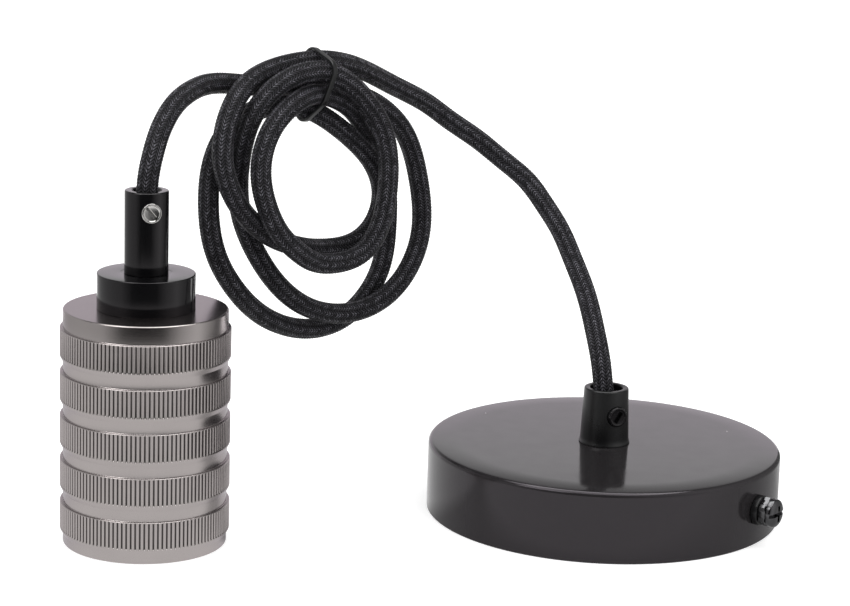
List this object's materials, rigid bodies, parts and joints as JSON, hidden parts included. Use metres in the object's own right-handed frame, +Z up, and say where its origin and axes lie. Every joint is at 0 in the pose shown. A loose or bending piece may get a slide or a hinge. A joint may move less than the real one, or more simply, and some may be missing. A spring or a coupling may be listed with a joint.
{
  "type": "pendant cord set",
  "caption": "Pendant cord set for a bare lamp: ribbed metal lamp holder, braided cord in a tied coil, and a black ceiling canopy with cord grip and side screws.",
  "frame": {"origin": "Middle of the base of the holder and canopy together, on the floor they stand on; the cord and its tie are not counted.", "axes": "+Z up. +X from the holder towards the canopy, along the longer side. +Y to the back."},
  "size_m": [0.2008, 0.1138, 0.1313],
  "materials": {
    "shell_metal": "satin dark nickel, finely fluted bands between plain grooves",
    "black_polish": "polished black",
    "nickel": "bright nickel",
    "zinc": "zinc plated",
    "porcelain": "white glaze",
    "brass": "plain brass",
    "canopy_paint": "satin black",
    "black_plastic": "smooth moulded black",
    "black_metal": "black plated",
    "block_plastic": "plain white",
    "braid": "tight black braid with a light sheen",
    "tie": "smooth black",
    "live_core": "brown",
    "neutral_core": "blue",
    "earth_core": "green with a yellow stripe"
  },
  "bodies": {
    "root": {"block_screw_1": "zinc", "block_screw_2": "zinc", "block_screw_3": "zinc", "canopy_cord_grip": "black_plastic", "canopy_cup": "canopy_paint", "canopy_earth_core": "earth_core", "canopy_grip_nut": "zinc", "canopy_grip_screw": "black_plastic", "canopy_grip_washer": "zinc", "canopy_live_core": "live_core", "canopy_neutral_core": "neutral_core", "ceiling_bracket": "zinc", "centre_contact": "brass", "centre_rivet": "brass", "coil_tie": "tie", "cord": "braid", "earth_screw": "brass", "holder_cord_grip": "black_polish", "holder_earth_core": "earth_core", "holder_grip_screw": "nickel", "holder_live_core": "live_core", "holder_neutral_core": "neutral_core", "holder_nipple": "zinc", "holder_shell": "shell_metal", "live_terminal": "brass", "live_terminal_screw": "zinc", "neutral_terminal": "brass", "neutral_terminal_screw": "zinc", "nipple_nut": "zinc", "nipple_washer": "zinc", "screw_shell": "brass", "shell_collar": "black_polish", "shell_rivet_back": "brass", "shell_rivet_front": "brass", "side_nut_left": "black_metal", "side_nut_right": "black_metal", "side_screw_left": "black_metal", "side_screw_right": "black_metal", "side_washer_left": "black_plastic", "side_washer_right": "black_plastic", "socket_body": "porcelain", "socket_strap": "zinc", "strap_nut": "zinc", "strap_screw_left": "zinc", "strap_screw_right": "zinc", "terminal_block": "block_plastic"}
  },
  "joints": []
}
